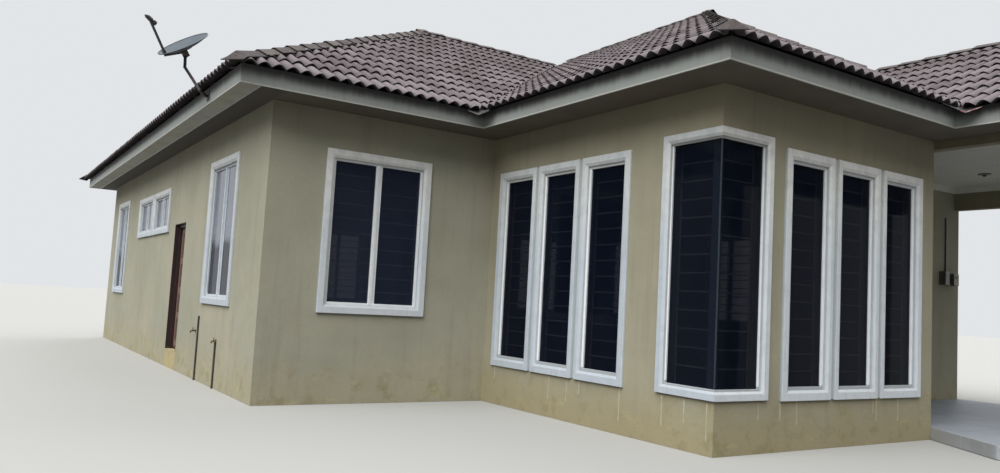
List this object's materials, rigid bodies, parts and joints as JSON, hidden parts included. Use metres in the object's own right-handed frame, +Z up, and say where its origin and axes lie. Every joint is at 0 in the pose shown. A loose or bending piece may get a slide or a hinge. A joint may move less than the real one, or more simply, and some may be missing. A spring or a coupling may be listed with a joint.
{
  "type": "bungalow",
  "caption": "Single-storey house with hipped tile roof, forward bay with corner window, deep eaves, corner porch and a hinged side door.",
  "frame": {"origin": "ground level, where the centre lines of the left wall and the front wall cross", "axes": "+X right along the front, +Y away from the front towards the rear, +Z up"},
  "size_m": [13.7846, 21.685, 6.617],
  "materials": {
    "plaster": "khaki painted cement plaster, stained at the foot",
    "concrete": "smooth screed",
    "floor_tiles": "polished light grey tiles",
    "ceiling_board": "white painted plasterboard",
    "grey_board": "grey-white painted boards, dusty",
    "roof_tiles": "weathered brown-grey concrete tiles",
    "roof_caps": "weathered concrete ridge and hip tiles",
    "white_moulding": "white painted moulded cement, worn",
    "white_frames": "white powder coat",
    "tinted_glass": "dark blue-grey tint",
    "dark_timber": "dark brown varnish",
    "dish_metal": "grey powder coat",
    "dark_metal": "dark paint, rusting at the joints",
    "meter_case": "grey moulded casings",
    "pipe": "black plastic pipe"
  },
  "bodies": {
    "house": {"left_wall_front": "plaster", "left_wall_rear": "plaster", "left_wall_at_door": "plaster", "front_wall": "plaster", "bay_side_wall": "plaster", "bay_front_wall": "plaster", "bay_right_wall": "plaster", "porch_rear_wall": "plaster", "right_walls": "plaster", "rear_walls": "plaster", "house_floor": "concrete", "porch_floor": "floor_tiles", "house_ceiling": "ceiling_board", "porch_ceiling": "ceiling_board", "porch_columns": "plaster", "porch_beams": "plaster", "soffit": "grey_board", "fascia": "grey_board", "roof_left": "roof_tiles", "roof_front": "roof_tiles", "roof_bay_left": "roof_tiles", "roof_bay_front": "roof_tiles", "roof_porch_left": "roof_tiles", "roof_porch_front": "roof_tiles", "roof_porch_right": "roof_tiles", "roof_right": "roof_tiles", "roof_wing_right": "roof_tiles", "roof_rear": "roof_tiles", "roof_caps": "roof_caps", "left_window_surrounds": "white_moulding", "left_window_frames": "white_frames", "left_window_glass": "tinted_glass", "front_window_surrounds": "white_moulding", "front_window_frames": "white_frames", "front_window_glass": "tinted_glass", "rear_window_surrounds": "white_moulding", "rear_window_frames": "white_frames", "rear_window_glass": "tinted_glass", "side_door_frame": "dark_timber", "entrance_door": "dark_timber", "dish": "dish_metal", "dish_mast": "dark_metal", "meter_box": "meter_case", "standpipes": "pipe"},
    "side_door_leaf": {"side_door": "dark_timber"}
  },
  "joints": [
    {"name": "side_door_hinge", "type": "hinge", "parent": "house", "child": "side_door_leaf", "pos_m": [0.082, 4.921, 1.3], "axis": [0, 0, 1], "range_deg": [0, 90]}
  ]
}
